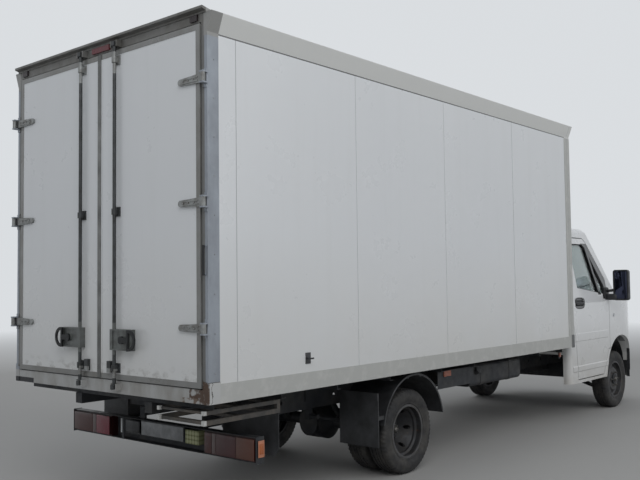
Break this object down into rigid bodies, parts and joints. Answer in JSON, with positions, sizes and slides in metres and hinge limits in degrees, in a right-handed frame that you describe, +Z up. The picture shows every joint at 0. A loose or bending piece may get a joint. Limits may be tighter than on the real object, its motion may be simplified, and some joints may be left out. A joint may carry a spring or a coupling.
{
  "type": "refrigerated box truck",
  "caption": "Refrigerated box truck: insulated box body with double rear doors on a light chassis cab, with dual rear wheels, steered front wheels and opening doors and bonnet.",
  "frame": {"origin": "on the ground, in the middle of the truck's overall length and width", "axes": "+X forward, +Y to the driver's left, +Z up"},
  "size_m": [7.871, 2.6, 3.2619],
  "materials": {
    "white_panel": "white glass-fibre panel, lightly soiled",
    "white_paint": "white paint, weathered",
    "galvanised_steel": "galvanised, dull",
    "bright_rail": "extruded aluminium, satin",
    "dark_steel": "black chassis paint, dusty",
    "tyre": "rubber, dusty",
    "rim_paint": "silver wheel paint, dirty",
    "black_plastic": "grained black plastic",
    "window_glass": "lightly tinted",
    "lamp_lens": "red, amber and clear lenses",
    "mudguard_plastic": "dark grey plastic, muddy",
    "seat_cloth": "dark grey cloth"
  },
  "bodies": {
    "chassis": {"chassis_frame": "dark_steel", "box_subframe": "dark_steel", "box_floor": "galvanised_steel", "box_wall_left": "white_panel", "box_wall_right": "white_panel", "box_front_wall": "white_panel", "box_roof": "white_panel", "box_edge_rails": "bright_rail", "rear_frame": "galvanised_steel", "refrigeration_unit": "white_paint", "rear_lamp_bar": "dark_steel", "lamps": "lamp_lens", "rear_mudguards": "mudguard_plastic", "step_ladder": "galvanised_steel", "fuel_tank": "dark_steel", "rear_axle": "dark_steel", "front_suspension": "dark_steel", "drive_line": "dark_steel", "cab_shell": "white_paint", "front_fenders": "white_paint", "front_bumper": "black_plastic", "front_panel": "white_paint", "windscreen": "window_glass", "seats": "seat_cloth", "dashboard": "black_plastic", "roof_deflector": "white_paint"},
    "rear_door_left": {"rear_door_left": "white_panel", "rear_door_lock_left": "galvanised_steel"},
    "rear_door_right": {"rear_door_right": "white_panel", "rear_door_lock_right": "galvanised_steel"},
    "cab_door_left": {"cab_door_left": "white_paint", "door_glass_left": "window_glass", "mirror_left": "black_plastic"},
    "cab_door_right": {"cab_door_right": "white_paint", "door_glass_right": "window_glass", "mirror_right": "black_plastic"},
    "bonnet": {"bonnet": "white_paint"},
    "knuckle_left": {"knuckle_left": "dark_steel"},
    "knuckle_right": {"knuckle_right": "dark_steel"},
    "front_wheel_left": {"front_tyre_left": "tyre", "front_rim_left": "rim_paint"},
    "front_wheel_right": {"front_tyre_right": "tyre", "front_rim_right": "rim_paint"},
    "rear_wheels_left": {"rear_tyre_left": "tyre", "rear_rim_left": "rim_paint"},
    "rear_wheels_right": {"rear_tyre_right": "tyre", "rear_rim_right": "rim_paint"}
  },
  "joints": [
    {"name": "rear_door_left_hinge", "type": "hinge", "parent": "chassis", "child": "rear_door_left", "pos_m": [-3.9035, 1.098, 2.06], "axis": [0, 0, -1], "range_deg": [0, 265]},
    {"name": "rear_door_right_hinge", "type": "hinge", "parent": "chassis", "child": "rear_door_right", "pos_m": [-3.9035, -1.098, 2.06], "axis": [0, 0, 1], "range_deg": [0, 265]},
    {"name": "cab_door_left_hinge", "type": "hinge", "parent": "chassis", "child": "cab_door_left", "pos_m": [2.5385, 1.02, 1], "axis": [0, 0, -1], "range_deg": [0, 65]},
    {"name": "cab_door_right_hinge", "type": "hinge", "parent": "chassis", "child": "cab_door_right", "pos_m": [2.5385, -1.02, 1], "axis": [0, 0, 1], "range_deg": [0, 65]},
    {"name": "bonnet_hinge", "type": "hinge", "parent": "chassis", "child": "bonnet", "pos_m": [3.1785, 0, 1.326], "axis": [0, -1, 0], "range_deg": [0, 55]},
    {"name": "steering_left", "type": "hinge", "parent": "chassis", "child": "knuckle_left", "pos_m": [2.9055, 0.74, 0.342], "axis": [0, 0, 1], "range_deg": [-35, 35]},
    {"name": "steering_right", "type": "hinge", "parent": "chassis", "child": "knuckle_right", "pos_m": [2.9055, -0.74, 0.342], "axis": [0, 0, 1], "range_deg": [-35, 35]},
    {"name": "front_wheel_left_spin", "type": "hinge", "parent": "knuckle_left", "child": "front_wheel_left", "pos_m": [2.9055, 0.87, 0.342], "axis": [0, 1, 0], "continuous": true},
    {"name": "front_wheel_right_spin", "type": "hinge", "parent": "knuckle_right", "child": "front_wheel_right", "pos_m": [2.9055, -0.87, 0.342], "axis": [0, 1, 0], "continuous": true},
    {"name": "rear_wheels_left_spin", "type": "hinge", "parent": "chassis", "child": "rear_wheels_left", "pos_m": [-1.5705, 0.7555, 0.342], "axis": [0, 1, 0], "continuous": true},
    {"name": "rear_wheels_right_spin", "type": "hinge", "parent": "chassis", "child": "rear_wheels_right", "pos_m": [-1.5705, -0.7555, 0.342], "axis": [0, 1, 0], "continuous": true}
  ],
  "couplings": [
    {"joint": "steering_right", "follows": "steering_left", "ratio": 1}
  ]
}
